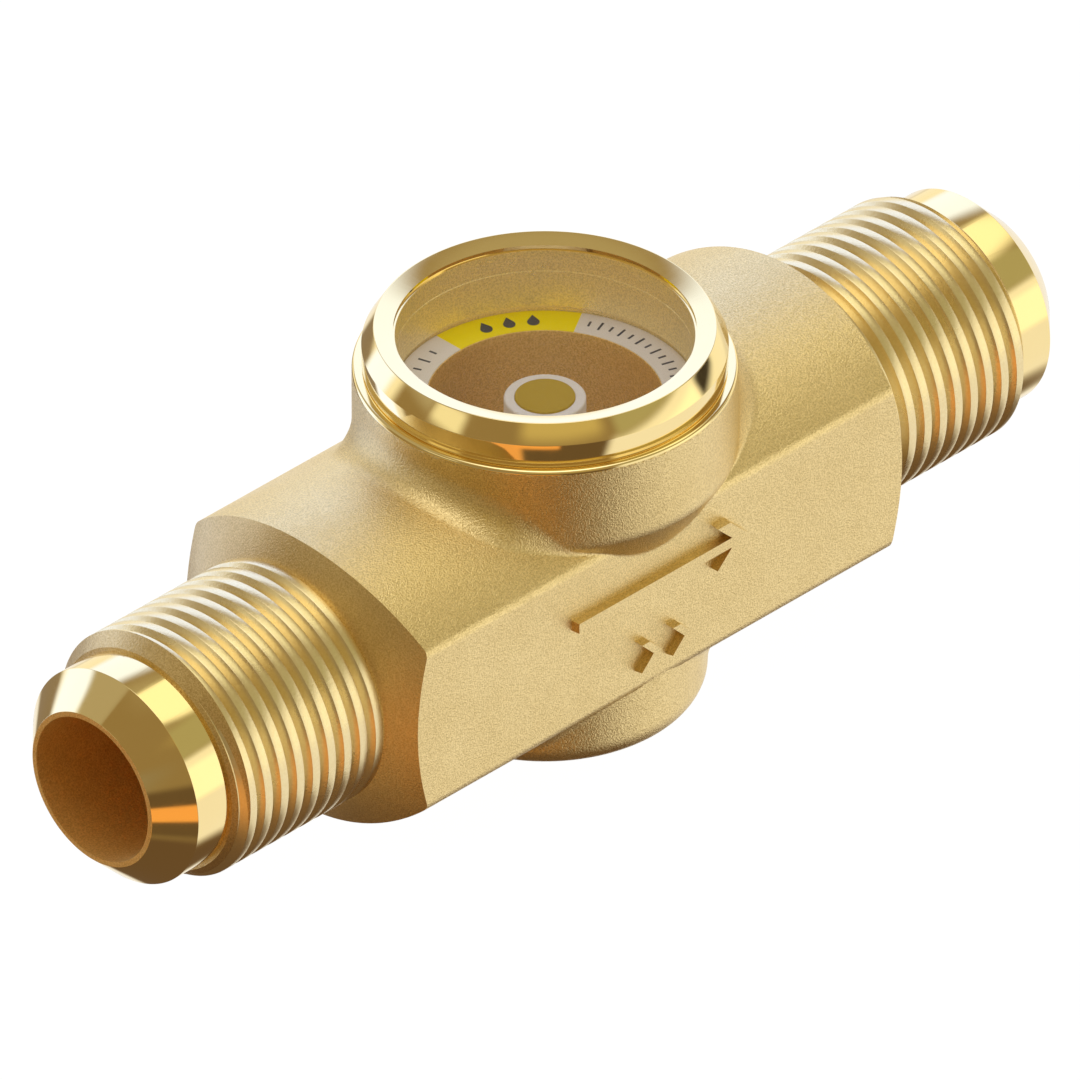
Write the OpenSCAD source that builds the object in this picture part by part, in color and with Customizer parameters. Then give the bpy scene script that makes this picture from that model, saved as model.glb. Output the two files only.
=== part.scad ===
// Inline sight glass with moisture indicator, male flare ends both sides.
// Flow runs along X, the window looks up along Z, and the part rests on z = 0.
// Heights named "_z" are measured from the flow axis.

/* [Flow line] */
// Length from flare tip to flare tip
length = 104.6; // [103:0.2:108]
// Diameter of the flow bore
bore_d = 13.0; // [12.4:0.1:13.2]
// Height of the flow axis above the resting face
axis_h = 14.7; // [14.5:0.1:16]

/* [Flare ends] */
// Major diameter of the flare thread, 7/8-14 UNF
thread_d = 22.1; // [21.9:0.05:22.2]
// Pitch of the flare thread
thread_pitch = 1.814; // [1.7:0.001:1.9]
// Depth of the flare thread
thread_depth = 1.1; // [0.9:0.05:1.15]
// Diameter of the plain nose in front of the thread
nose_d = 19.3; // [18.8:0.1:19.6]
// Length of the plain nose
nose_len = 3.5; // [3:0.1:4]
// Outside diameter of the tip, at the small end of the 45 degree flare seat
tip_d = 13.9; // [13.7:0.1:14.5]
// Height of the chamfer where the thread starts
lead_h = 1.0; // [0.8:0.1:1.1]

/* [Barrel] */
// Distance across the wrench flats
across_flats = 27.0; // [26.4:0.1:27.6]
// Height of a wrench flat
flat_h = 15.3; // [14:0.1:16]
// Radius of the domed top and bottom
dome_r = 19.4; // [18.6:0.1:21]
// Length of the barrel at the middle of a flat
barrel_len = 56.4; // [54:0.2:57]
// Angle of the turned chamfer on the barrel ends
barrel_chamfer = 30; // [25:1:35]

/* [Boss and foot] */
// Diameter of the window boss
boss_d = 31.8; // [31.4:0.1:32.4]
// Height of the boss top above the flow axis
boss_z = 16.95; // [16.8:0.05:17.1]
// Height where the boss wall starts to run back to the flats
boss_low_z = 9.2; // [8.6:0.1:10]
// Height where the sloping underside meets the flats
boss_root_z = 5.4; // [5:0.1:6]
// Diameter of the foot under the barrel
foot_d = 27.1; // [26:0.1:27.6]
// Edge round of the foot
foot_round = 2.5; // [2:0.1:3]

/* [Window ring] */
// Outside diameter of the polished ring
ring_d = 30.2; // [30:0.1:30.6]
// Top of the ring
ring_z = 20.6; // [20.5:0.1:21.2]
// Height of the outer bevel on the ring
ring_bevel_h = 1.6; // [1.2:0.1:1.8]
// Width of the outer bevel on the ring
ring_bevel_w = 1.0; // [0.6:0.1:1.2]
// Drop of the ring's dished top face towards the glass
ring_dish = 0.4; // [0.2:0.05:0.5]
// Diameter of the thread that holds the ring
ring_thread_d = 27.9; // [27.6:0.1:28]
// Diameter of the glass
glass_d = 24.7; // [24.4:0.1:24.8]
// Top of the glass
glass_z = 19.8; // [19.6:0.05:19.9]
// Underside of the glass
glass_low_z = 14.15; // [14.1:0.05:14.6]

/* [Indicator] */
// Outside diameter of the printed dial
dial_od = 25.4; // [25:0.05:25.5]
// Inside diameter of the printed dial
dial_id = 19.6; // [19.6:0.1:20.4]
// Thickness of the dial
dial_t = 0.3; // [0.2:0.05:0.4]
// Top of the dial and of the post
dial_z = 13.65; // [13.6:0.01:13.7]
// Diameter of the indicator post
post_d = 6.8; // [6.4:0.1:7.2]
// Diameter of the moisture element
element_d = 5.0; // [4.6:0.1:5.2]
// How far the element stands above the post
element_rise = 0.15; // [0.05:0.05:0.2]
// Diameter of the well below the dial
well_d = 19.6; // [18.8:0.1:19.6]
// Depth of the well floor below the flow axis
well_depth = 9.5; // [8.5:0.1:10]

/* [Marks] */
// Length of the raised flow arrow
arrow_len = 20; // [16:0.5:22]
// Height of the arrow head
arrow_h = 4.4; // [3:0.2:5]
// Width of the strokes of the marks
mark_stroke = 1; // [0.6:0.1:1.4]
// How far the marks stand out of the flat
mark_rise = 0.8; // [0.2:0.05:1]

/* [Hidden] */
$fn = 96;
eps = 0.01;
run_gap = 0.05;                                   // running clearance at the ring thread
face_gap = 0.02;                                  // gap between faces that turn past each other
half_len = length / 2;
flat_y = across_flats / 2;
dome_drop = sqrt(pow(dome_r, 2) - pow(flat_y, 2)) - flat_h / 2;
thread_r = thread_d / 2;
thread_root_r = thread_r - thread_depth;
cone_len = (nose_d - tip_d) / 2;                  // 45 degree seat
nose_x = half_len - cone_len - nose_len;          // where the nose starts
lead_x = nose_x - lead_h;                         // end of the full thread
barrel_x = barrel_len / 2;
cone_x = barrel_x + (flat_y - thread_r) * tan(barrel_chamfer);
crest_w = thread_pitch / 5;
flank_w = thread_depth * tan(30);
ridges = floor((lead_x - cone_x) / thread_pitch);
seat_rise = 0.25;
seat_z = boss_z + seat_rise;                      // face that the ring's shoulder sits on
thread_hole_r = ring_thread_d / 2 + run_gap;
gasket_z = 11.0;                                  // floor of the gasket groove
gasket_t = 0.5;
slip_t = 0.4;
spigot_z = gasket_z + gasket_t + slip_t + 2 * face_gap;   // underside of the ring's spigot
dial_low_z = dial_z - dial_t;
seat_washer_t = 0.3;
dial_land_z = dial_low_z - seat_washer_t;
land_gap = 0.1;
land_r = dial_od / 2 + land_gap;
skirt_r = land_r + land_gap;                      // the spigot's skirt passes outside the dial land
skirt_top_z = dial_z + 0.25;                      // inner edge of the ring, just above the dial
o_ring_r = 0.55;
o_ring_z = seat_z - 0.75;
neck_r = ring_thread_d / 2 - 2 * o_ring_r;
neck_z = o_ring_z - 0.8;                          // lower face of the O-ring neck
gland_z = o_ring_z - 0.7;                         // where the thread hole opens up for the O-ring
gland_r = thread_hole_r + 0.2;
socket_r = 2.6;
socket_depth = 2.2;
post_washer_t = 0.4;
pocket_z = dial_z - 2.0;
wick_t = 1.1;
barrel_fn = 180;

// points of an arc about [cx, cy], from angle a0 to a1
function arc(cx, cy, r, a0, a1, n = 6) =
    [for (i = [0:n]) let (a = a0 + (a1 - a0) * i / n) [cx + r * cos(a), cy + r * sin(a)]];

// points of one thread ridge that starts at x
function ridge(x) = [[thread_root_r, x], [thread_r, x + flank_w],
                     [thread_r, x + flank_w + crest_w], [thread_root_r, x + 2 * flank_w + crest_w]];

module along_x() { rotate([0, 90, 0]) children(); }
module at_axis() { translate([0, 0, axis_h]) children(); }

// a tube about Z between two heights
module tube(outer_d, inner_d, z0, z1) {
    translate([0, 0, z0]) difference() {
        cylinder(d = outer_d, h = z1 - z0);
        translate([0, 0, -eps]) cylinder(d = inner_d, h = z1 - z0 + 2 * eps);
    }
}

// section of the barrel: two flats, domed top and bottom
module barrel_section() {
    intersection() {
        square([across_flats, 4 * dome_r], center = true);
        translate([0, -dome_drop]) circle(r = dome_r, $fn = barrel_fn);
        translate([0, dome_drop]) circle(r = dome_r, $fn = barrel_fn);
    }
}

module barrel() {
    // turned envelope that chamfers both ends
    reach = 8;
    intersection() {
        rotate([90, 0, 90]) linear_extrude(height = 2 * cone_x, center = true) barrel_section();
        along_x() rotate_extrude() polygon([
            [0, -cone_x], [thread_r, -cone_x],
            [flat_y + reach, -barrel_x + reach * tan(barrel_chamfer)],
            [flat_y + reach, barrel_x - reach * tan(barrel_chamfer)],
            [thread_r, cone_x], [0, cone_x]]);
    }
}

// one threaded end with its nose and flare seat, on the +X side
module flare_end() {
    first = lead_x - ridges * thread_pitch;
    along_x() rotate_extrude() polygon(concat(
        [[0, cone_x - 1], [thread_root_r, cone_x - 1]],
        [for (i = [0:ridges - 1]) each ridge(first + i * thread_pitch)],
        [[thread_root_r, lead_x - eps], [thread_r, lead_x], [thread_root_r, nose_x],
         [nose_d / 2, nose_x], [nose_d / 2, nose_x + nose_len], [tip_d / 2, half_len], [0, half_len]]));
}

// forged boss that carries the window, with its sloping underside
module boss() {
    boss_r = boss_d / 2;
    lip = 0.45;
    rotate_extrude() polygon(concat(
        [[0, 0], [flat_y, 0], [flat_y, boss_root_z], [boss_r, boss_low_z]],
        arc(boss_r - lip, boss_z - lip, lip, 0, 90, 4),
        [[ring_d / 2 + seat_rise, boss_z], [ring_d / 2, seat_z], [0, seat_z]]));
}

// forged foot under the barrel
module foot() {
    foot_r = foot_d / 2;
    rotate_extrude() polygon(concat(
        [[0, 0], [0, -axis_h]],
        arc(foot_r - foot_round, foot_round - axis_h, foot_round, 270, 360, 6),
        [[foot_r, 0]]));
}

// everything that is machined out from above: ring thread, gasket groove, dial land, well, post socket
module well() {
    floor_round = 3;
    well_r = well_d / 2;
    open_z = seat_z + 1;
    rotate_extrude() polygon(concat(
        [[0, open_z], [0, -well_depth - socket_depth], [socket_r, -well_depth - socket_depth],
         [socket_r, -well_depth]],
        arc(well_r - floor_round, floor_round - well_depth, floor_round, 270, 360, 6),
        [[well_r, dial_land_z], [land_r, dial_land_z], [land_r, gasket_z], [thread_hole_r, gasket_z],
         [thread_hole_r, gland_z], [gland_r, gland_z], [gland_r, open_z]]));
}

// raised flow arrow and two chevrons under it on the front flat
module marks() {
    tip = arrow_len / 2;
    wing = arrow_h / 2;
    half = mark_stroke / 2;
    back = tip - 1.5 * mark_stroke;                // where the inside of the head comes to a point
    small = 1.5;
    translate([0, -flat_y + eps, 0]) rotate([90, 0, 0]) linear_extrude(height = mark_rise + eps) {
        translate([-0.4, 2.4]) polygon([
            [-tip, -half], [back - half, -half], [back - wing, -wing], [tip - wing, -wing], [tip, 0],
            [tip - wing, wing], [back - wing, wing], [back - half, half], [-tip, half]]);
        for (x = [-1.6, 2]) translate([x, -4.2]) polygon([
            [-small, -small], [mark_stroke - small, -small], [mark_stroke, 0],
            [mark_stroke - small, small], [-small, small], [0, 0]]);
    }
}

module body() {
    color([0.80, 0.66, 0.36]) at_axis() difference() {
        union() {
            barrel();
            flare_end();
            mirror([1, 0, 0]) flare_end();
            boss();
            foot();
            marks();
        }
        along_x() cylinder(d = bore_d, h = length + 2, center = true);
        well();
    }
}

// polished ring with the threaded spigot under it; the glass is fused into its bore
module retaining_ring() {
    ring_r = ring_d / 2;
    glass_r = glass_d / 2;
    spigot_r = ring_thread_d / 2;
    edge = 0.3;
    lead = 0.4;
    color([0.87, 0.68, 0.34]) at_axis() rotate_extrude() polygon([
        [glass_r, skirt_top_z + edge], [glass_r + edge, skirt_top_z], [skirt_r, skirt_top_z],
        [skirt_r, spigot_z], [spigot_r - lead, spigot_z], [spigot_r, spigot_z + lead],
        [spigot_r, neck_z], [neck_r, neck_z], [neck_r, seat_z + face_gap],
        [ring_r, seat_z + face_gap], [ring_r, ring_z - ring_bevel_h],
        [ring_r - ring_bevel_w, ring_z], [glass_r, ring_z - ring_dish]]);
}

module sight_glass() {
    glass_r = glass_d / 2;
    edge = 0.12;
    draft = 0.02;
    draft_h = 0.3;
    color([0.90, 0.95, 0.93, 0.35]) at_axis() rotate_extrude() polygon([
        [0, glass_low_z], [glass_r - draft, glass_low_z], [glass_r, glass_low_z + draft_h],
        [glass_r, glass_z - edge], [glass_r - edge, glass_z], [0, glass_z]]);
}

module ring_o_ring() {
    color([0.10, 0.10, 0.11]) at_axis() translate([0, 0, o_ring_z])
        rotate_extrude() translate([neck_r + o_ring_r, 0]) circle(r = o_ring_r, $fn = 32);
}

module slip_washer() {
    color([0.72, 0.73, 0.74]) at_axis()
        tube(ring_thread_d - 0.3, 2 * land_r + 0.1, gasket_z + gasket_t + face_gap, spigot_z - face_gap);
}

module face_gasket() {
    color([0.93, 0.93, 0.90]) at_axis()
        tube(ring_thread_d - 0.1, 2 * land_r, gasket_z, gasket_z + gasket_t);
}

// thin washer that levels the dial on its land
module dial_seat_washer() {
    color([0.25, 0.25, 0.26]) at_axis() tube(dial_od - 0.2, dial_id + 0.2, dial_land_z, dial_low_z);
}

module indicator_dial() {
    color([0.85, 0.83, 0.82]) at_axis() tube(dial_od, dial_id, dial_low_z, dial_z);
}

// post pressed into the floor of the well, drilled so that the liquid reaches the element
module indicator_post() {
    feed_r = 1.0;
    feed_drop = 3;
    over = 1;
    stem_gap = 0.1;
    stem_z = -well_depth - socket_depth + stem_gap;
    color([0.88, 0.87, 0.85]) at_axis() difference() {
        union() {
            translate([0, 0, stem_z]) cylinder(r = socket_r, h = socket_depth + post_washer_t);
            translate([0, 0, -well_depth + post_washer_t])
                cylinder(d = post_d, h = dial_z + well_depth - post_washer_t);
        }
        translate([0, 0, pocket_z]) cylinder(d = element_d, h = dial_z - pocket_z + over);
        translate([0, 0, pocket_z - feed_drop - feed_r]) cylinder(r = feed_r, h = feed_drop + feed_r + over);
        translate([0, 0, pocket_z - feed_drop]) rotate([0, 90, 0])
            cylinder(r = feed_r, h = post_d + 2 * over, center = true);
    }
}

module post_seat_washer() {
    color([0.70, 0.71, 0.72]) at_axis()
        tube(post_d + 1.6, 2 * socket_r, -well_depth, -well_depth + post_washer_t);
}

module element_wick() {
    color([0.94, 0.93, 0.88]) at_axis()
        translate([0, 0, pocket_z]) cylinder(d = element_d, h = wick_t);
}

module indicator_element() {
    low_z = pocket_z + wick_t;
    color([0.62, 0.52, 0.20]) at_axis()
        translate([0, 0, low_z]) cylinder(d = element_d, h = dial_z + element_rise - low_z);
}

body();
retaining_ring();
sight_glass();
ring_o_ring();
slip_washer();
face_gasket();
dial_seat_washer();
indicator_dial();
indicator_post();
indicator_element();
element_wick();
post_seat_washer();
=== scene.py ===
"""Looks of the flare-ended brass sight glass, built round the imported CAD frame."""
import math

import bmesh
import bpy
import numpy as np
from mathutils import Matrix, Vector


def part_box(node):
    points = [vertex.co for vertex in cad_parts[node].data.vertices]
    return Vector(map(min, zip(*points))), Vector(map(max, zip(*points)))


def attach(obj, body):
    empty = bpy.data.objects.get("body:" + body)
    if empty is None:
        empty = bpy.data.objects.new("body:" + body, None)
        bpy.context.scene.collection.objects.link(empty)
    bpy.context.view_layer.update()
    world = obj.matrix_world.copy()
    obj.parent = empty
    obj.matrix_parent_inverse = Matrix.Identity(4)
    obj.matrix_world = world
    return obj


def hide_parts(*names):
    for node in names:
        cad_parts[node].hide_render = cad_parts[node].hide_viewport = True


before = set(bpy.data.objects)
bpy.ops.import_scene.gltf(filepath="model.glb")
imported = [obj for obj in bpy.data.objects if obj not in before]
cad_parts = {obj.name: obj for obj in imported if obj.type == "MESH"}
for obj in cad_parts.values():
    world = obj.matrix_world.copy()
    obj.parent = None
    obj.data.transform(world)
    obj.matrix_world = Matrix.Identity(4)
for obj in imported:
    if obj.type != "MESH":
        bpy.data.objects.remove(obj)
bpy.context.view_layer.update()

MM = 0.001
FULL_TURN = 2 * math.pi


# ---------------------------------------------------------------- driving sizes, in millimetres
def box_mm(node):
    """Lowest and highest corner of a CAD node, in millimetres."""
    low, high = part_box(node)
    return np.array(low) / MM, np.array(high) / MM


body_high = box_mm("body")[1]
ring_low, ring_high = box_mm("retaining_ring")
glass_low, glass_high = box_mm("sight_glass")
dial_low, dial_high = box_mm("indicator_dial")
post_low, post_high = box_mm("indicator_post")
element_low, element_high = box_mm("indicator_element")

# Heights named _Z are measured from the flow axis, as in the design.
AXIS_H = 14.7                        # height of the flow axis above the resting face
HALF_LEN = body_high[0]
BORE_R = 6.5
THREAD_R = 11.05
THREAD_PITCH = 1.814
THREAD_DEPTH = 0.8
NOSE_R = 9.65
NOSE_LEN = 3.5
TIP_R = 6.95
NOSE_X = HALF_LEN - (NOSE_R - TIP_R) - NOSE_LEN
LEAD_H = 1.08                        # height of the chamfer where the thread starts
FLAT_Y = 13.5
FLAT_HALF_H = 7.65
DOME_R = 19.4
DOME_DROP = math.sqrt(DOME_R ** 2 - FLAT_Y ** 2) - FLAT_HALF_H
BARREL_X = 28.2                      # half length of the barrel at the middle of a flat
END_SLOPE = math.tan(math.radians(30))
BOSS_R = body_high[1]
BOSS_LOW_Z, BOSS_ROOT_Z = 9.2, 5.4
FOOT_R = 13.45
FOOT_ROUND = 2.5
SEAT_Z = 17.2                        # seat of the ring's shoulder
RIM_Z = 16.6                         # where the rough wall ends and the turned rim starts
WELL_R = 9.8
WELL_DEPTH = 9.5
WELL_ROUND = 3.0
THREAD_HOLE_R = 14.0
RING_R = ring_high[0]
RING_TOP_Z = ring_high[2] - AXIS_H
SPIGOT_Z = ring_low[2] - AXIS_H
SPIGOT_R = 13.95
SPIGOT_PITCH = 1.0
GLASS_R = glass_high[0]
GLASS_Z = glass_high[2] - AXIS_H
GLASS_LOW_Z = glass_low[2] - AXIS_H
DIAL_R, DIAL_Z = dial_high[0], dial_high[2] - AXIS_H
POST_R = post_high[0]
ELEMENT_R = element_high[0]


# ---------------------------------------------------------------- mesh helpers
def new_mesh(name, points, faces, smooth_angle=32):
    """Makes an object from points in millimetres, in the frame of the CAD."""
    mesh = bpy.data.meshes.new(name)
    mesh.from_pydata((np.asarray(points, float) * MM).tolist(), [], faces)
    mesh.validate()
    mesh.update()
    piece = bpy.data.objects.new(name, mesh)
    bpy.context.scene.collection.objects.link(piece)
    mesh.shade_smooth()
    mesh.set_sharp_from_angle(angle=math.radians(smooth_angle))
    return piece


def round_corner(before, here, after, radius, steps):
    """Points of the arc that rounds the corner at here."""
    if radius <= 0:
        return [here]
    to_before = (before - here) / np.linalg.norm(before - here)
    to_after = (after - here) / np.linalg.norm(after - here)
    half = math.acos(np.clip(to_before @ to_after, -1, 1)) / 2
    middle = (to_before + to_after) / np.linalg.norm(to_before + to_after)
    centre = here + middle * radius / math.sin(half)
    start = here + to_before * radius / math.tan(half) - centre
    end = here + to_after * radius / math.tan(half) - centre
    turn = math.copysign(math.pi - 2 * half, start[0] * end[1] - start[1] * end[0])
    out = []
    for t in np.linspace(0, turn, steps + 1):
        c, s = math.cos(t), math.sin(t)
        out.append(centre + np.array([start[0] * c - start[1] * s, start[0] * s + start[1] * c]))
    return out


def rounded(corners, steps=5):
    """A closed outline of (r, z, round) corners, each corner replaced by an arc of that radius."""
    at = [np.array(c[:2], float) for c in corners]
    out = []
    for i, corner in enumerate(corners):
        out += round_corner(at[i - 1], at[i], at[(i + 1) % len(at)], corner[2], steps)
    return np.array(out)


def lathe_faces(rows, segments, closed):
    """Quads between turned rows. closed joins the last row to the first."""
    faces = []
    for i in range(rows if closed else rows - 1):
        a, b = i * segments, (i + 1) % rows * segments
        for k in range(segments):
            m = (k + 1) % segments
            faces.append((a + k, a + m, b + m, b + k))
    return faces


def lathe_points(outline, segments):
    """Points of an (r, z) outline turned about Z, one row of segments for each of its points."""
    angle = np.linspace(0, FULL_TURN, segments, endpoint=False)
    r, z = outline[:, :1], outline[:, 1:]
    return np.stack([r * np.cos(angle), r * np.sin(angle), z + 0 * angle], -1).reshape(-1, 3)


def turned(name, corners, segments=192, steps=5):
    """A turned ring about the window axis, from (r, z, round) corners counter-clockwise in (r, z)."""
    outline = rounded(corners, steps)
    points = lathe_points(outline, segments)
    points[:, 2] += AXIS_H
    return new_mesh(name, points, lathe_faces(len(outline), segments, True))


def turned_solid(name, corners, segments=192, steps=5, lift=AXIS_H):
    """As turned, for an outline that starts and ends on the axis: its end points become poles."""
    outline = rounded(corners, steps)
    inner = outline[1:-1]
    points = lathe_points(inner, segments)
    faces = lathe_faces(len(inner), segments, False)
    low, high = len(points), len(points) + 1
    last = (len(inner) - 1) * segments
    points = np.vstack([points, [[0, 0, outline[0][1]], [0, 0, outline[-1][1]]]])
    for k in range(segments):
        m = (k + 1) % segments
        faces.append((low, m, k))
        faces.append((high, last + k, last + m))
    points[:, 2] += lift
    return new_mesh(name, points, faces)


def thread_form(crest_r, depth, pitch, crest, root, edge):
    """One pitch of a thread as (r, z) points. crest and root are its flat widths, edge rounds them."""
    flank = (pitch - crest - root) / 2
    low = crest_r - depth
    corners = [(crest_r, -flank), (low, 0), (low, root), (crest_r, root + flank),
               (crest_r, root + flank + crest), (low, pitch)]
    at = [np.array(c, float) for c in corners]
    out = []
    for i in range(1, 5):
        out += round_corner(at[i - 1], at[i], at[i + 1], edge, 2)
    return np.array(out)


def threaded_rod(name, form, pitch, start_z, turns, segments):
    """A right-hand threaded rod about Z, closed by a fan at each end. It starts at start_z."""
    per_turn = len(form)
    share = np.arange(segments) / segments
    turn = np.repeat(np.arange(turns + 1), per_turn)
    r = np.tile(form[:, 0], turns + 1)[:, None]
    z = np.tile(form[:, 1], turns + 1)[:, None] + pitch * (turn[:, None] + share) + start_z
    angle = FULL_TURN * share
    points = np.stack([r * np.cos(angle), r * np.sin(angle), z], -1).reshape(-1, 3)
    rows = len(r)

    def at(row, k):
        return row * segments + k

    faces = [(at(i, k), at(i, k + 1), at(i + 1, k + 1), at(i + 1, k))
             for i in range(rows - 1) for k in range(segments - 1)]
    last = segments - 1
    faces += [(at(i, last), at(i + per_turn, 0), at(i + per_turn + 1, 0), at(i + 1, last))
              for i in range(rows - per_turn - 1)]
    bottom = [at(0, k) for k in range(segments)] + [at(i, 0) for i in range(per_turn, 0, -1)]
    top = [at(rows - 1, k) for k in range(segments)]
    top += [at(i, last) for i in range(rows - 2, rows - per_turn - 2, -1)]
    poles = [[0, 0, start_z], [0, 0, z.max()]]
    low, high = len(points), len(points) + 1
    for i, here in enumerate(bottom):
        faces.append((low, bottom[(i + 1) % len(bottom)], here))
    for i, here in enumerate(top):
        faces.append((high, here, top[(i + 1) % len(top)]))
    return new_mesh(name, np.vstack([points, poles]), faces)


def combine(piece, operation, tools, smooth_angle=32):
    """Joins, cuts or trims a piece with tools, and deletes them."""
    for tool in tools:
        step = piece.modifiers.new("combine", "BOOLEAN")
        step.operation, step.solver, step.object = operation, "MANIFOLD", tool
    bpy.context.view_layer.update()
    depsgraph = bpy.context.evaluated_depsgraph_get()
    shape = bpy.data.meshes.new_from_object(piece.evaluated_get(depsgraph))
    piece.modifiers.clear()
    piece.data = shape
    shape.name = piece.name
    for tool in tools:
        bpy.data.objects.remove(tool)
    shape.shade_smooth()
    shape.set_sharp_from_angle(angle=math.radians(smooth_angle))


def lay_along_flow(piece, side):
    """Turns a piece made about Z so that its Z runs along the flow axis, out of the given end."""
    spots = np.empty(len(piece.data.vertices) * 3)
    piece.data.vertices.foreach_get("co", spots)
    x, y, z = spots.reshape(-1, 3).T
    lift = AXIS_H * MM
    laid = np.stack([side * z, y, lift - side * x], 1)
    piece.data.vertices.foreach_set("co", laid.ravel())
    piece.data.update()


# ---------------------------------------------------------------- forged body
def soft_union(a, b, radius):
    """Union of two distances with a round fillet."""
    u, v = np.maximum(radius - a, 0), np.maximum(radius - b, 0)
    return np.maximum(radius, np.minimum(a, b)) - np.sqrt(u * u + v * v)


def soft_cut(a, b, radius):
    """Common part of two distances with a round edge."""
    u, v = np.maximum(radius + a, 0), np.maximum(radius + b, 0)
    return np.minimum(-radius, np.maximum(a, b)) + np.sqrt(u * u + v * v)


def ease(t):
    """A smooth step from 0 to 1."""
    t = np.clip(t, 0.0, 1.0)
    return t * t * (3 - 2 * t)


def forging_distance(x, y, z):
    """Signed distance to the forging before its ends are turned, with the flow axis at z = 0.

    The fillets of the boss and the foot grow from nothing at the flats to their full size at the crown.
    """
    crown_edge, flat_edge, boss_edge = 0.3, 0.35, 0.25
    r_window, off_middle = np.hypot(x, y), np.abs(y)
    boss_fillet = 0.08 + 2.5 * ease((FLAT_Y + 0.2 - off_middle) / 4.5)
    foot_fillet = 0.02 + 1.4 * ease((FLAT_Y - 0.2 - off_middle) / 4.0)
    upper, lower = np.hypot(y, z + DOME_DROP) - DOME_R, np.hypot(y, z - DOME_DROP) - DOME_R
    barrel = soft_cut(soft_cut(upper, lower, crown_edge), off_middle - FLAT_Y, flat_edge)
    slope = math.atan2(BOSS_LOW_Z - BOSS_ROOT_Z, BOSS_R - FLAT_Y)
    under = (r_window - FLAT_Y) * math.sin(slope) - (z - BOSS_ROOT_Z) * math.cos(slope)
    boss = np.maximum(soft_cut(r_window - BOSS_R, under, boss_edge), np.maximum(z - RIM_Z, -z))
    foot = np.maximum(soft_cut(r_window - FOOT_R, -AXIS_H - z, FOOT_ROUND), z)
    return soft_union(soft_union(barrel, boss, boss_fillet), foot, foot_fillet)


def gradient(distance, points, h=1e-3):
    """Slope of a distance at some points, by differences over h on each side."""
    return np.stack([(distance(*(points + d).T) - distance(*(points - d).T)) / (2 * h)
                     for d in np.eye(3) * h], 1)


def settle(distance, points, reach, rounds=4):
    """Moves points onto the zero surface of a distance."""
    for _ in range(rounds):
        slope = gradient(distance, points)
        size = np.maximum((slope ** 2).sum(1), 0.25)
        step = (np.clip(distance(*points.T), -reach, reach) / size)[:, None] * slope
        points = points - step
    return points


def surface_of(distance, low, high, step):
    """Points and quads on the zero surface of a distance function."""
    import openvdb
    axes = [np.arange(a, b + step, step) for a, b in zip(low, high)]
    field = np.empty([len(a) for a in axes], np.float32)
    y, z = np.meshgrid(axes[1], axes[2], indexing="ij")
    for i, x in enumerate(axes[0]):
        field[i] = distance(np.full_like(y, x), y, z)
    grid = openvdb.FloatGrid(background=1.0)
    grid.copyFromArray(np.clip(field, -1.0, 1.0))
    points, quads = grid.convertToQuads(isovalue=0)
    points = np.array(points, float) * step + np.array(low)
    return settle(distance, points, step), np.array(quads).tolist()


def refine(points, faces, distance, bend, levels):
    """Splits the faces where the surface turns by more than bend degrees from corner to corner."""
    limit = math.cos(math.radians(bend))
    bm = bmesh.new()
    verts = [bm.verts.new(p) for p in points]
    for face in faces:
        bm.faces.new([verts[i] for i in face])
    for _ in range(levels):
        bm.verts.index_update()
        here = np.array([v.co for v in bm.verts], float)
        normal = gradient(distance, here)
        normal /= np.linalg.norm(normal, axis=1)[:, None]
        ends = np.array([(e.verts[0].index, e.verts[1].index) for e in bm.edges])
        turned_much = (normal[ends[:, 0]] * normal[ends[:, 1]]).sum(1) < limit
        chosen = [e for e, much in zip(list(bm.edges), turned_much) if much]
        count = len(bm.verts)
        bmesh.ops.subdivide_edges(bm, edges=chosen, cuts=1, use_grid_fill=True)
        bm.verts.ensure_lookup_table()
        fresh = np.array([v.co for v in bm.verts], float)
        fresh[count:] = settle(distance, fresh[count:], 0.3)
        for v, p in zip(bm.verts, fresh):
            v.co = p
    bm.verts.index_update()
    out_points = np.array([v.co for v in bm.verts], float)
    out_faces = [[v.index for v in f.verts] for f in bm.faces]
    bm.free()
    return out_points, out_faces


def prism(name, outline, depth, draft):
    """A raised mark on the front flat: an (x, z) outline, narrower by draft at its outer face."""
    outline = np.array(outline, float)
    middle = (outline.min(0) + outline.max(0)) / 2
    span = np.abs(outline - middle).max(0)
    small = middle + (outline - middle) * (1 - draft / span)
    n = len(outline)
    root = [(x, -FLAT_Y + 0.3, z + AXIS_H) for x, z in outline]
    face = [(x, -FLAT_Y - depth, z + AXIS_H) for x, z in small]
    faces = [(k, (k + 1) % n, n + (k + 1) % n, n + k) for k in range(n)]
    faces += [tuple(range(n))[::-1], tuple(range(n, 2 * n))]
    return new_mesh(name, root + face, faces, 20)


def make_marks():
    """Flow arrow and two chevrons under it, as tools to join to the forging."""
    tip, wing, half, stroke, small = 10.0, 2.2, 0.5, 1.0, 1.5
    depth, draft = 0.78, 0.12
    back = tip - 1.5 * stroke
    arrow = [(-tip, -half), (back - half, -half), (back - wing, -wing), (tip - wing, -wing), (tip, 0),
             (tip - wing, wing), (back - wing, wing), (back - half, half), (-tip, half)]
    chevron = [(-small, -small), (stroke - small, -small), (stroke, 0), (stroke - small, small),
               (-small, small), (0, 0)]
    marks = []
    for name, outline, right, up in (("arrow", arrow, -0.4, 2.4), ("chevron", chevron, -1.6, -4.2),
                                     ("chevron", chevron, 2.0, -4.2)):
        marks.append(prism(name, [(x + right, z + up) for x, z in outline], depth, draft))
    return marks


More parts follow.
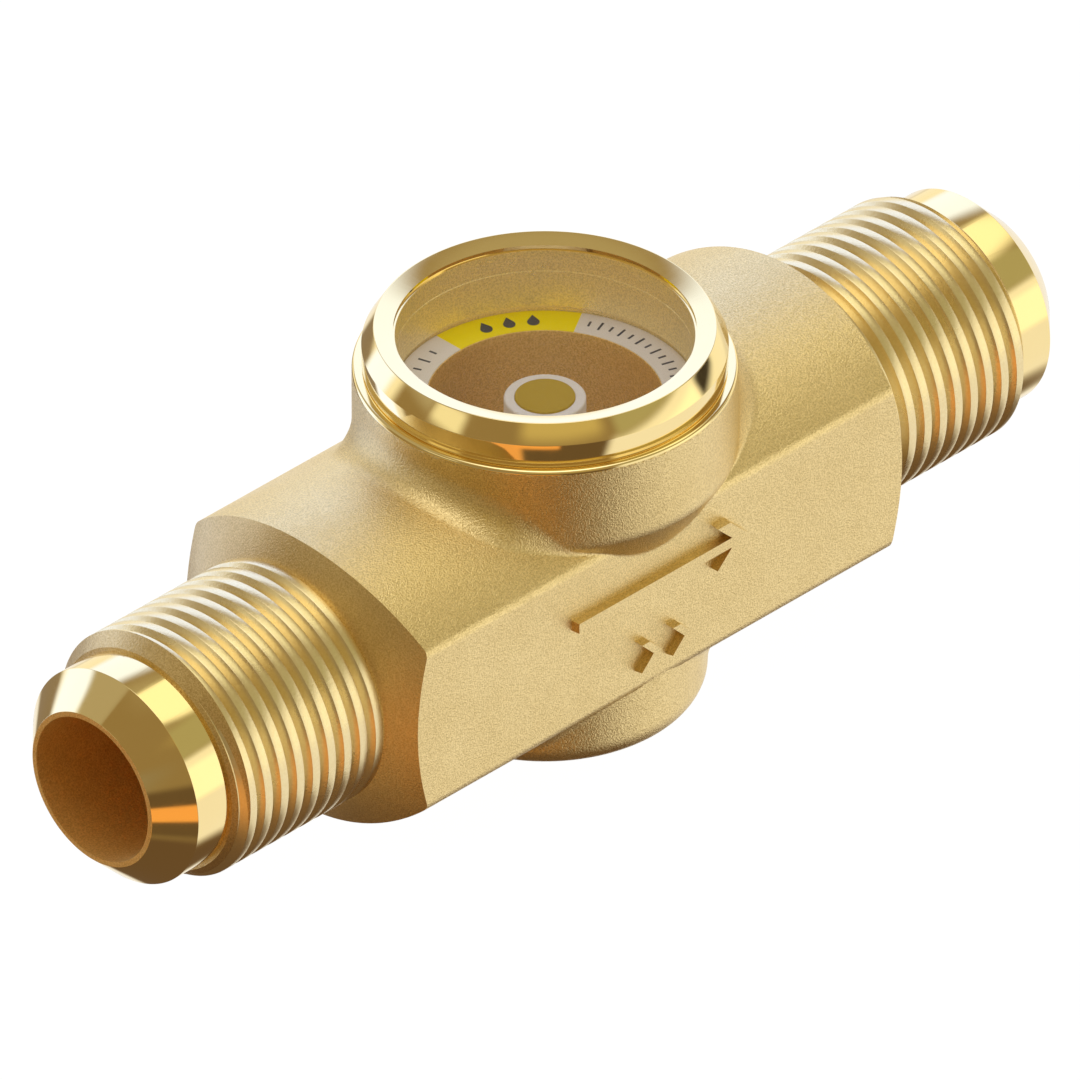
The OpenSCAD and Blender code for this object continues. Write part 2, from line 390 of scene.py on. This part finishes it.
def end_tool(segments=192):
    """Turned envelope of the barrel, whose cones face both ends."""
    outer, inner = 30.0, 9.0
    outer_x = BARREL_X + (FLAT_Y - outer) * END_SLOPE
    inner_x = BARREL_X + (FLAT_Y - inner) * END_SLOPE
    tool = turned_solid("end_tool", [
        (0, -inner_x, 0), (inner, -inner_x, 0), (outer, -outer_x, 0),
        (outer, outer_x, 0), (inner, inner_x, 0), (0, inner_x, 0)], segments, lift=0)
    lay_along_flow(tool, 1)
    return tool


def bore_tool(reach, radius=BORE_R, segments=160):
    """A cylinder along the flow axis."""
    angle = np.linspace(0, FULL_TURN, segments, endpoint=False)
    ring = np.stack([0 * angle, radius * np.cos(angle), AXIS_H + radius * np.sin(angle)], 1)
    points = np.vstack([ring - [reach, 0, 0], ring + [reach, 0, 0]])
    faces = [(k, (k + 1) % segments, (k + 1) % segments + segments, k + segments)
             for k in range(segments)]
    faces += [tuple(range(segments))[::-1], tuple(range(segments, 2 * segments))]
    return new_mesh("bore_tool", points, faces)


def smooth_as(piece, distance, tolerance=0.02):
    """Gives the corners that lie on a distance's surface the exact normals of that surface."""
    mesh = piece.data
    spots = np.array([v.co[:] for v in mesh.vertices]) / MM - [0, 0, AXIS_H]
    on = np.abs(distance(*spots.T)) < tolerance
    exact = gradient(distance, spots)
    exact /= np.maximum(np.linalg.norm(exact, axis=1), 1e-9)[:, None]
    kept = np.array([c.vector[:] for c in mesh.corner_normals])
    vertex = np.array([loop.vertex_index for loop in mesh.loops])
    face_of = np.repeat(np.arange(len(mesh.polygons)), [p.loop_total for p in mesh.polygons])
    facing = np.array([p.normal[:] for p in mesh.polygons])[face_of]
    follow = on[vertex] & ((exact[vertex] * facing).sum(1) > 0.85)
    kept[follow] = exact[vertex[follow]]
    mesh.normals_split_custom_set(kept.tolist())


def make_forging():
    """The forging with its marks, turned ends, well and bore."""
    low, high = (-30.9, -17.0, -15.5), (30.9, 17.0, 17.3)
    step = 0.4
    points, quads = surface_of(forging_distance, low, high, step)
    points, faces = refine(points, quads, forging_distance, bend=9.0, levels=2)
    points[:, 2] += AXIS_H
    forging = new_mesh("body_forging", points, faces)
    combine(forging, "UNION", make_marks())
    combine(forging, "INTERSECT", [end_tool()])
    land_r, land_z, groove_z = 12.8, 13.05, 11.0
    well = turned_solid("well_tool", [
        (0, -WELL_DEPTH, 0), (WELL_R, -WELL_DEPTH, WELL_ROUND), (WELL_R, land_z, 0.3),
        (land_r, land_z, 0.1), (land_r, groove_z, 0), (THREAD_HOLE_R, groove_z, 0),
        (THREAD_HOLE_R, RIM_Z + 2, 0), (0, RIM_Z + 2, 0)], 160, 8)
    combine(forging, "DIFFERENCE", [well, bore_tool(40)])
    smooth_as(forging, forging_distance)
    return forging


# ---------------------------------------------------------------- threaded ends and turned rings
def make_end(name, side):
    """One flare end with its helical thread. side is -1 for the inlet and 1 for the outlet."""
    start = BARREL_X - 1.0
    segments = 192
    form = thread_form(THREAD_R, THREAD_DEPTH, THREAD_PITCH, crest=0.86, root=0.14, edge=0.10)
    rod = threaded_rod(name, form, THREAD_PITCH, start - 3, 13, segments)
    lead_x = NOSE_X - LEAD_H
    trim = turned_solid("trim", [
        (0, start, 0), (THREAD_R + 1, start, 0), (THREAD_R + 1, lead_x - 1, 0),
        (THREAD_R - LEAD_H, NOSE_X, 0), (0, NOSE_X, 0)], segments, lift=0)
    nose = turned_solid("nose", [
        (0, NOSE_X - 3, 0), (NOSE_R, NOSE_X - 3, 0), (NOSE_R, NOSE_X + NOSE_LEN, 0.06),
        (TIP_R, HALF_LEN, 0.07), (0, HALF_LEN, 0)], segments, lift=0)
    combine(rod, "INTERSECT", [trim])
    combine(rod, "UNION", [nose])
    lay_along_flow(rod, side)
    combine(rod, "DIFFERENCE", [bore_tool(HALF_LEN + 5)], 26)
    return rod


def make_rim():
    """The turned rim on top of the boss, round the foot of the ring."""
    rim_low, rim_top, seat_r = RIM_Z - 0.3, SEAT_Z - 0.25, RING_R - 0.12
    return turned("boss_rim", [
        (THREAD_HOLE_R, rim_low, 0), (BOSS_R - 0.5, rim_low, 0), (BOSS_R, RIM_Z, 0.05),
        (BOSS_R, rim_top, 0.3), (seat_r, rim_top, 0.02), (seat_r, SEAT_Z, 0.02),
        (THREAD_HOLE_R, SEAT_Z, 0.1)])


def make_ring():
    """The polished ring with its threaded spigot."""
    thread_top, neck_r, skirt_r, skirt_top = 15.65, 12.9, 12.9, 13.9
    crest_r, root_r, lead = SPIGOT_R + 0.1, SPIGOT_R - 0.5, 0.6
    segments = 192
    form = thread_form(SPIGOT_R, 0.45, SPIGOT_PITCH, crest=0.18, root=0.12, edge=0.04)
    spigot = threaded_rod("window_ring", form, SPIGOT_PITCH, SPIGOT_Z - 2 + AXIS_H, 7, segments)
    trim = turned_solid("trim", [
        (0, SPIGOT_Z, 0), (root_r, SPIGOT_Z, 0), (crest_r, SPIGOT_Z + lead, 0),
        (crest_r, thread_top - lead, 0), (root_r, thread_top, 0), (0, thread_top, 0)], segments)
    combine(spigot, "INTERSECT", [trim])
    neck_low, shoulder_z = thread_top - 0.5, SEAT_Z + 0.02
    bevel_low, crown_z = RING_TOP_Z - 1.6, RING_TOP_Z - 0.4
    head = turned_solid("head", [
        (0, neck_low, 0), (neck_r, neck_low, 0), (neck_r, shoulder_z, 0.1), (RING_R, shoulder_z, 0.12),
        (RING_R, bevel_low, 0.1), (RING_R - 1.0, RING_TOP_Z, 0.1), (GLASS_R, crown_z, 0),
        (0, crown_z, 0)], 256, 4)
    combine(spigot, "UNION", [head])
    line_z, line_h, line_deep, ledge = 17.8, 0.07, 0.05, 0.15
    hollow = turned_solid("hollow", [
        (0, SPIGOT_Z - 1, 0), (skirt_r, SPIGOT_Z - 1, 0), (skirt_r, skirt_top, 0),
        (GLASS_R + 0.35, skirt_top, 0.1), (GLASS_R, skirt_top + 0.5, 0.3), (GLASS_R, line_z - line_h, 0),
        (GLASS_R + line_deep, line_z, 0), (GLASS_R, line_z + line_h, 0), (GLASS_R, GLASS_Z + 0.02, 0),
        (GLASS_R + ledge, GLASS_Z + 0.05, 0), (GLASS_R + ledge, RING_TOP_Z + 1, 0),
        (0, RING_TOP_Z + 1, 0)], 256, 4)
    combine(spigot, "DIFFERENCE", [hollow], 26)
    return spigot


def make_glass():
    """The window's disc, a hair smaller than its seat."""
    edge, clearance = 0.15, 0.02
    r = GLASS_R - clearance
    return turned_solid("window_glass", [(0, GLASS_LOW_Z, 0), (r, GLASS_LOW_Z, edge), (r, GLASS_Z, edge),
                                         (0, GLASS_Z, 0)], 192, 4)


# ---------------------------------------------------------------- indicator
SECTORS = ((31, 90), (211, 270))      # yellow and green, in degrees about the window from +X


def make_dial():
    """The printed dial: a thin ring whose top is split along its coloured sectors."""
    low, bevel, clearance = dial_low[2] - AXIS_H, 0.05, 0.02
    inner, outer = WELL_R + clearance, DIAL_R - clearance
    return turned("dial_plate", [(inner, low, 0), (outer, low, 0), (outer, DIAL_Z, bevel),
                                 (inner, DIAL_Z, bevel)], 360, 2)


def make_register():
    """A thin upstand on the well's edge that centres the dial."""
    low, top, thick, edge = 12.6, DIAL_Z - 0.03, 0.08, 0.03
    outer = WELL_R - 0.01
    return turned("dial_register", [(outer - thick, low, 0), (outer, low, 0), (outer, top, 0),
                                    (outer - thick, top, edge)], 192, 2)


def droplet(radius, steps=20):
    """Outline of a drop with its point along +y, about the middle of its round end."""
    lean = math.radians(35)
    angle = np.linspace(math.pi - lean, FULL_TURN + lean, steps)
    point = (0, 1.12 * radius / math.sin(lean))
    return [(radius * math.cos(a), radius * math.sin(a)) for a in angle] + [point]


def print_marks():
    """Small raised ink marks on the dial: drops on the yellow, plain ticks on the white."""
    thick, tick, drop, inward = 0.03, 0.09, 0.52, 0.25
    middle = (WELL_R + DIAL_R) / 2
    shapes = [(droplet(drop), degrees, middle - inward) for degrees in (50, 60.5, 71)]
    for degrees in (*range(-29, 27, 5), *range(100, 129, 7)):
        half = 0.55 if degrees % 2 else 0.35
        shapes.append(([(-tick, -half), (tick, -half), (tick, half), (-tick, half)], degrees, middle))
    points, faces = [], []
    for outline, degrees, radius in shapes:
        a = math.radians(degrees)
        out, side = np.array([math.cos(a), math.sin(a)]), np.array([math.sin(a), -math.cos(a)])
        spots = [out * (radius + v) + side * u for u, v in outline]
        base, n = len(points), len(spots)
        points += [(x, y, DIAL_Z + AXIS_H - 0.01) for x, y in spots]
        points += [(x, y, DIAL_Z + AXIS_H + thick) for x, y in spots]
        faces += [(base + k, base + (k + 1) % n, base + n + (k + 1) % n, base + n + k) for k in range(n)]
        faces += [tuple(range(base, base + n))[::-1], tuple(range(base + n, base + 2 * n))]
    piece = new_mesh("dial_marks", points, faces, 20)
    bm = bmesh.new()
    bm.from_mesh(piece.data)
    bmesh.ops.recalc_face_normals(bm, faces=bm.faces)
    bm.to_mesh(piece.data)
    bm.free()
    return piece


def make_post():
    """The white post with the pocket for its element."""
    low, shoulder = post_low[2] - AXIS_H, 0.4 - WELL_DEPTH
    stem_r, pocket_r = 2.6, ELEMENT_R + 0.03
    pocket_floor = element_low[2] - AXIS_H - 1.1
    return turned_solid("post_turning", [
        (0, low, 0), (stem_r, low, 0.2), (stem_r, shoulder, 0), (POST_R, shoulder, 0.2),
        (POST_R, DIAL_Z, 0.18), (pocket_r, DIAL_Z, 0.05), (pocket_r, pocket_floor, 0),
        (0, pocket_floor, 0)], 128, 4)


def make_element():
    """The disc in the post's pocket that changes colour."""
    low, top = element_low[2] - AXIS_H, element_high[2] - AXIS_H
    return turned_solid("element_disc", [(0, low, 0), (ELEMENT_R, low, 0.05), (ELEMENT_R, top, 0.12),
                                         (0, top, 0)], 128, 4)


# ---------------------------------------------------------------- materials
def node(tree, kind, **values):
    """A shader node with its sockets or settings set by name."""
    made = tree.nodes.new(kind)
    for key, value in values.items():
        if key in made.inputs:
            made.inputs[key].default_value = value
        else:
            setattr(made, key, value)
    return made


def material(name, **sockets):
    """A new material, its node tree and its shader, with the shader's sockets set by name."""
    mat = bpy.data.materials.new(name)
    mat.use_nodes = True
    shader = mat.node_tree.nodes["Principled BSDF"]
    for key, value in sockets.items():
        shader.inputs[key.replace("_", " ")].default_value = value
    return mat, mat.node_tree, shader


def spread(tree, value, low, high, to_low, to_high):
    """Maps a value from one range to another and gives the output socket."""
    made = tree.nodes.new("ShaderNodeMapRange")
    for key, number in zip(("From Min", "From Max", "To Min", "To Max"), (low, high, to_low, to_high)):
        made.inputs[key].default_value = number
    tree.links.new(value, made.inputs["Value"])
    return made.outputs["Result"]


def two_tone(tree, share, dark, light):
    """Mixes two colours and gives the output socket."""
    mix = node(tree, "ShaderNodeMix", data_type="RGBA")
    mix.inputs["A"].default_value = (*dark, 1)
    mix.inputs["B"].default_value = (*light, 1)
    tree.links.new(share, mix.inputs["Factor"])
    return mix.outputs["Result"]


def brass(name, light, dark, roughness, grain, depth, unevenness=0.06, painted_light=0.0):
    """Brass with a sandy grain. Colour and roughness vary a little and bump gives the grain. An emission
    strength, if given, is painted light in the light tone: it brightens surfaces that sit in the
    window's shade.
    """
    mat, tree, shader = material(name, Metallic=1.0, Emission_Strength=painted_light, Emission_Color=(*light, 1))
    link = tree.links.new
    place = node(tree, "ShaderNodeTexCoord")
    fine = node(tree, "ShaderNodeTexNoise", Scale=grain, Detail=2.0, Roughness=0.6)
    broad = node(tree, "ShaderNodeTexNoise", Scale=160.0, Detail=3.0, Roughness=0.6)
    link(place.outputs["Object"], fine.inputs["Vector"])
    link(place.outputs["Object"], broad.inputs["Vector"])
    share = spread(tree, fine.outputs["Fac"], 0.36, 0.64, 0, 1)
    link(two_tone(tree, share, dark, light), shader.inputs["Base Color"])
    link(spread(tree, broad.outputs["Fac"], 0.3, 0.7, roughness - unevenness, roughness + unevenness),
         shader.inputs["Roughness"])
    bump = node(tree, "ShaderNodeBump", Strength=1.0, Distance=depth)
    link(fine.outputs["Fac"], bump.inputs["Height"])
    link(bump.outputs["Normal"], shader.inputs["Normal"])
    return mat


def polished(name, light, dark, roughness):
    """Turned and polished brass, with a faint haze in its colour and roughness."""
    mat, tree, shader = material(name, Metallic=1.0)
    link = tree.links.new
    place = node(tree, "ShaderNodeTexCoord")
    haze = node(tree, "ShaderNodeTexNoise", Scale=350.0, Detail=4.0, Roughness=0.7)
    link(place.outputs["Object"], haze.inputs["Vector"])
    link(two_tone(tree, haze.outputs["Fac"], dark, light), shader.inputs["Base Color"])
    link(spread(tree, haze.outputs["Fac"], 0.3, 0.7, roughness * 0.7, roughness * 1.3),
         shader.inputs["Roughness"])
    return mat


def plain(name, colour, roughness, grain, depth, metallic=0.0, contrast=0.07, painted_light=0.0):
    """A quiet surface with a little grain: plastic, rubber, felt, ink or plated steel. An emission
    strength, if given, is painted light in its own colour, for parts that sit in the window's shade.
    """
    mat, tree, shader = material(name, Metallic=metallic, Roughness=roughness, Emission_Strength=painted_light,
                                 Emission_Color=(*colour, 1))
    place = node(tree, "ShaderNodeTexCoord")
    fine = node(tree, "ShaderNodeTexNoise", Scale=grain, Detail=3.0)
    tree.links.new(place.outputs["Object"], fine.inputs["Vector"])
    dark = [c * (1 - contrast) for c in colour]
    tree.links.new(two_tone(tree, fine.outputs["Fac"], dark, colour), shader.inputs["Base Color"])
    bump = node(tree, "ShaderNodeBump", Strength=1.0, Distance=depth)
    tree.links.new(fine.outputs["Fac"], bump.inputs["Height"])
    tree.links.new(bump.outputs["Normal"], shader.inputs["Normal"])
    return mat


def clear_glass(name):
    """Water-clear glass: nearly all see-through, with more gloss at a glancing angle."""
    mat, tree, shader = material(name, Base_Color=(0.05, 0.07, 0.06, 1), Roughness=0.03)
    edge = node(tree, "ShaderNodeLayerWeight", Blend=0.3)
    tree.links.new(spread(tree, edge.outputs["Facing"], 0.3, 1.0, 0.02, 0.30), shader.inputs["Alpha"])
    return mat


FORGED = brass("forged_brass", (1.0, 0.80, 0.41), (0.72, 0.56, 0.26), 0.34, 6800.0, 0.00006)
# The sandy brass of the window's inner wall glows with painted light, which lifts it out of the shade
# under the ring. The well brass is a darker copy with less of that painted light, as painted shade for
# the deeper well and the dial's register.
SANDY = brass("sandy_brass", (1.0, 0.80, 0.38), (0.70, 0.54, 0.23), 0.31, 6000.0, 0.00008, painted_light=0.13)
WELL = brass("well_brass", (0.98, 0.74, 0.34), (0.72, 0.50, 0.19), 0.40, 6000.0, 0.00008, painted_light=0.07)
TURNED = brass("turned_brass", (0.86, 0.66, 0.32), (0.66, 0.48, 0.21), 0.34, 7000.0, 0.00004)
BORED = brass("bored_brass", (0.98, 0.72, 0.30), (0.82, 0.55, 0.19), 0.85, 6500.0, 0.00005)
THREAD = brass("thread_brass", (0.92, 0.78, 0.46), (0.88, 0.73, 0.41), 0.28, 4200.0, 0.00001, 0.03)
POLISHED = polished("polished_brass", (1.0, 0.82, 0.42), (0.97, 0.79, 0.39), 0.08)
# The white of the post and dial, the dial's yellow and the element's olive glow with painted light,
# which lifts them out of the shade inside the window.
WHITE = plain("post_white", (0.78, 0.74, 0.75), 0.5, 1500, 0.00001, painted_light=0.12)
YELLOW = plain("dial_yellow", (0.82, 0.68, 0.0), 0.5, 1500, 0.000005, painted_light=0.20)
GREEN = plain("dial_green", (0.03, 0.26, 0.07), 0.5, 1500, 0.000005)
INK = plain("dial_ink", (0.11, 0.11, 0.15), 0.6, 1500, 0.000005)
OLIVE = plain("element_olive", (0.48, 0.33, 0.045), 0.85, 3500, 0.00002, painted_light=0.12)
RUBBER = plain("seal_black", (0.02, 0.02, 0.022), 0.6, 2000, 0.00001)
STEEL = plain("washer_steel", (0.60, 0.60, 0.62), 0.3, 2000, 0.000005, 1.0)
PTFE = plain("gasket_white", (0.80, 0.80, 0.76), 0.5, 2000, 0.00001)
FELT = plain("wick_felt", (0.80, 0.78, 0.70), 0.95, 4000, 0.00004)
GLASS = clear_glass("clear_glass")


# ---------------------------------------------------------------- pieces
def finish_with(piece, materials, body, choose=None, replaced=()):
    """Paints a piece and hangs it on its body. choose(x, y, z) gives the material of a face there."""
    piece.data.materials.clear()
    for mat in materials:
        piece.data.materials.append(mat)
    if choose:
        for face in piece.data.polygons:
            x, y, z = face.center / MM
            face.material_index = choose(x, y, z - AXIS_H)
    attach(piece, body)
    if replaced:
        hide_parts(*replaced)


def forging_finish(x, y, z):
    """0 for the forged skin, 1 on the turned cones at its ends, 2 in the bore, 3 in the well."""
    r_flow, r_window = math.hypot(y, z), math.hypot(x, y)
    on_well_wall = abs(r_window - WELL_R) < 0.06 and z > -WELL_DEPTH
    on_well_floor = r_window < WELL_R and -WELL_DEPTH - 0.5 < z < WELL_ROUND - WELL_DEPTH
    if on_well_wall or on_well_floor:
        return 3
    if r_flow < BORE_R + 0.02:
        return 2
    if r_window < THREAD_HOLE_R + 0.05 and z > 10.9:
        return 3
    return 1 if abs(abs(x) - BARREL_X - (FLAT_Y - r_flow) * END_SLOPE) < 0.02 else 0


def end_finish(x, y, z):
    """0 for the thread, 1 for the nose and seat, 2 for the chamfer, 3 in the bore and on its rim."""
    out, r = abs(x), math.hypot(y, z)
    if r < BORE_R + 0.02 or out > HALF_LEN - 0.01:
        return 3
    if out > NOSE_X + 0.01:
        return 1
    on_lead = abs(r - (THREAD_R - (out - NOSE_X + LEAD_H))) < 0.04 and out > NOSE_X - LEAD_H
    return 2 if on_lead or out > NOSE_X - 0.01 else 0


def ring_finish(x, y, z):
    """0 for polished outside faces, 1 for the sandy wall inside, 2 for the spigot."""
    r = math.hypot(x, y)
    if r < GLASS_R + 0.7 and z < GLASS_Z:
        return 1
    return 2 if z < SEAT_Z - 0.1 else 0


def dial_finish(x, y, z):
    """0 for white, 1 on the yellow sector, 2 on the green one."""
    degrees = math.degrees(math.atan2(y, x)) % 360
    for sector, (start, end) in enumerate(SECTORS, 1):
        if start < degrees < end:
            return sector
    return 0


finish_with(make_forging(), [FORGED, TURNED, BORED, WELL], "housing",
            forging_finish, ["body"])
for end_name, end_side in (("inlet_end", -1), ("outlet_end", 1)):
    finish_with(make_end(end_name, end_side), [THREAD, POLISHED, TURNED, BORED], "housing",
                end_finish, ["body"])
finish_with(make_rim(), [POLISHED], "housing", None, ["body"])
finish_with(make_ring(), [POLISHED, SANDY, TURNED], "window_cartridge",
            ring_finish, ["retaining_ring"])
finish_with(make_glass(), [GLASS], "window_cartridge", None, ["sight_glass"])
finish_with(make_dial(), [WHITE, YELLOW, GREEN], "housing", dial_finish,
            ["indicator_dial"])
finish_with(make_register(), [WELL], "housing")
finish_with(print_marks(), [INK], "housing")
finish_with(make_post(), [WHITE], "housing", None, ["indicator_post"])
finish_with(make_element(), [OLIVE], "housing", None, ["indicator_element"])

PAINT = {"ring_o_ring": RUBBER, "slip_washer": STEEL, "face_gasket": PTFE, "dial_seat_washer": RUBBER,
         "element_wick": FELT, "post_seat_washer": STEEL}
for name, mat in PAINT.items():
    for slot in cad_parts[name].material_slots:
        slot.material = mat

# ---------------------------------------------------------------- floor, surroundings and camera
bpy.ops.mesh.primitive_plane_add(size=6)
floor = bpy.context.object
floor.name = "floor"
floor.location.z = -0.02 * MM
pale = material("floor_pale", Base_Color=(0.06, 0.06, 0.06, 1), Roughness=1.0, Specular_IOR_Level=0.0,
                Emission_Strength=0.99, Emission_Color=(1, 1, 1, 1))
floor.data.materials.append(pale[0])
floor.visible_glossy = False
floor.visible_diffuse = False


def surroundings():
    """A studio of soft panels round the part, as the colours of the world behind it.

    Each panel is a box of azimuth and elevation in degrees, with azimuth 0 towards -Y and 90
    towards +X, from -120 to 240. soft is the width over which its edges fade.
    """
    world = bpy.data.worlds.new("studio")
    bpy.context.scene.world = world
    world.use_nodes = True
    tree = world.node_tree
    link = tree.links.new
    way = node(tree, "ShaderNodeSeparateXYZ")
    link(node(tree, "ShaderNodeTexCoord").outputs["Generated"], way.inputs[0])
    x, y, z = way.outputs

    def maths(operation, *values):
        made = node(tree, "ShaderNodeMath", operation=operation)
        for socket, value in zip(made.inputs, values):
            if isinstance(value, (int, float)):
                socket.default_value = value
            else:
                link(value, socket)
        return made.outputs[0]

    around = maths("DEGREES", maths("ARCTAN2", x, maths("MULTIPLY", y, -1.0)))
    azimuth = maths("WRAP", around, 240.0, -120.0)
    elevation = maths("DEGREES", maths("ARCSINE", z))

    def side(value, limit, soft, rising):
        """A soft step from 0 to 1 at the limit, or from 1 to 0."""
        step = node(tree, "ShaderNodeMapRange", interpolation_type="SMOOTHSTEP")
        low, high = (0.0, 1.0) if rising else (1.0, 0.0)
        for key, number in zip(("From Min", "From Max", "To Min", "To Max"),
                               (limit - soft / 2, limit + soft / 2, low, high)):
            step.inputs[key].default_value = number
        link(value, step.inputs["Value"])
        return step.outputs["Result"]

    colour = None
    for az0, az1, el0, el1, soft, panel in PANELS:
        across = maths("MULTIPLY", side(azimuth, az0, soft, True), side(azimuth, az1, soft, False))
        upward = maths("MULTIPLY", side(elevation, el0, soft, True), side(elevation, el1, soft, False))
        share = maths("MULTIPLY", across, upward)
        mix = node(tree, "ShaderNodeMix", data_type="RGBA")
        mix.clamp_factor = True
        if colour is None:
            mix.inputs["A"].default_value = (*AMBIENT, 1)
        else:
            link(colour, mix.inputs["A"])
        mix.inputs["B"].default_value = (*panel, 1)
        link(share, mix.inputs["Factor"])
        colour = mix.outputs["Result"]
    backdrop = node(tree, "ShaderNodeMix", data_type="RGBA")
    link(node(tree, "ShaderNodeLightPath").outputs["Is Camera Ray"], backdrop.inputs["Factor"])
    link(colour, backdrop.inputs["A"])
    backdrop.inputs["B"].default_value = (1.05, 1.05, 1.05, 1)
    link(backdrop.outputs["Result"], tree.nodes["Background"].inputs["Color"])
    tree.nodes["Background"].inputs["Strength"].default_value = 1.0


AMBIENT = (0.30, 0.215, 0.10)
PANELS = (
    (-200, 300, 48, 95, 14, (0.42, 0.35, 0.21)),          # ceiling
    (-200, 300, 68, 95, 14, (1.60, 1.55, 1.45)),          # lamp overhead
    (-200, 300, -95, -50, 12, (0.14, 0.085, 0.045)),      # ground under the part
    (-125, -55, -22, 12, 12, (0.30, 0.25, 0.16)),         # wall on the left
    (-145, -95, -46, -20, 10, (0.60, 0.46, 0.26)),        # ground on the left
    (-60, -4, -48, -4, 7, (0.14, 0.09, 0.045)),           # dark ground in front
    (-92, -60, -46, -22, 5, (0.90, 0.42, 0.13)),          # warm board low in front
    (-64, -36, -33, -19, 3, (0.98, 0.44, 0.12)),          # its right part, in the dark ground
    (-4, 215, -50, -12, 8, (0.95, 0.92, 0.88)),           # wide bright ground on the right
    (-4, 215, -12, 22, 8, (1.02, 0.98, 0.86)),            # wide bright wall on the right
    (25, 58, -14, 14, 6, (1.28, 1.22, 1.00)),             # brighter middle of that wall
    (0, 62, 22, 46, 8, (0.43, 0.39, 0.21)),               # dim band over it
    (55, 112, 46, 68, 8, (1.25, 1.20, 0.88)),             # high panel on the right
    (112, 162, 10, 42, 10, (1.06, 1.24, 1.90)),           # cool panel behind
    (158, 184, -45, -3, 8, (0.28, 0.22, 0.16)),           # dark gap behind
    (162, 240, 20, 50, 10, (0.45, 0.39, 0.27)),           # behind on the left
    (60, 80, 3, 14, 6, (0.05, 0.04, 0.03)),               # dark slit
    (184, 207, -40, 24, 7, (1.10, 1.30, 2.00)),           # cool strip far left
    (-119, -97, 18, 33, 8, (0.95, 0.90, 0.70)),           # short strip at the left
    (-60, -8, 28, 46, 12, (0.58, 0.46, 0.19)),            # warm panel over the camera
)
surroundings()
bpy.context.scene.view_settings.view_transform = "Standard"

AZIMUTH, ELEVATION = math.radians(-45), math.radians(34.4)
VIEW_WIDTH = 88.96                   # width of the picture at the part, in millimetres
AIM_RIGHT, AIM_UP = -0.41, -0.52     # where the camera aims beside the middle of the flow axis
LENS, SENSOR = 1400.0, 36.0          # a very long lens, since the view is all but parallel
back = Vector((math.sin(AZIMUTH) * math.cos(ELEVATION), -math.cos(AZIMUTH) * math.cos(ELEVATION),
               math.sin(ELEVATION)))
right = Vector((math.cos(AZIMUTH), math.sin(AZIMUTH), 0))
aim = Vector((0, 0, AXIS_H)) + right * AIM_RIGHT + back.cross(right) * AIM_UP
camera_data = bpy.data.cameras.new("camera")
camera_data.lens, camera_data.sensor_width = LENS, SENSOR
camera = bpy.data.objects.new("camera", camera_data)
bpy.context.scene.collection.objects.link(camera)
camera.location = (aim + back * VIEW_WIDTH * LENS / SENSOR) * MM
camera.rotation_mode = "QUATERNION"
camera.rotation_quaternion = (-back).to_track_quat("-Z", "Y")
bpy.context.scene.camera = camera
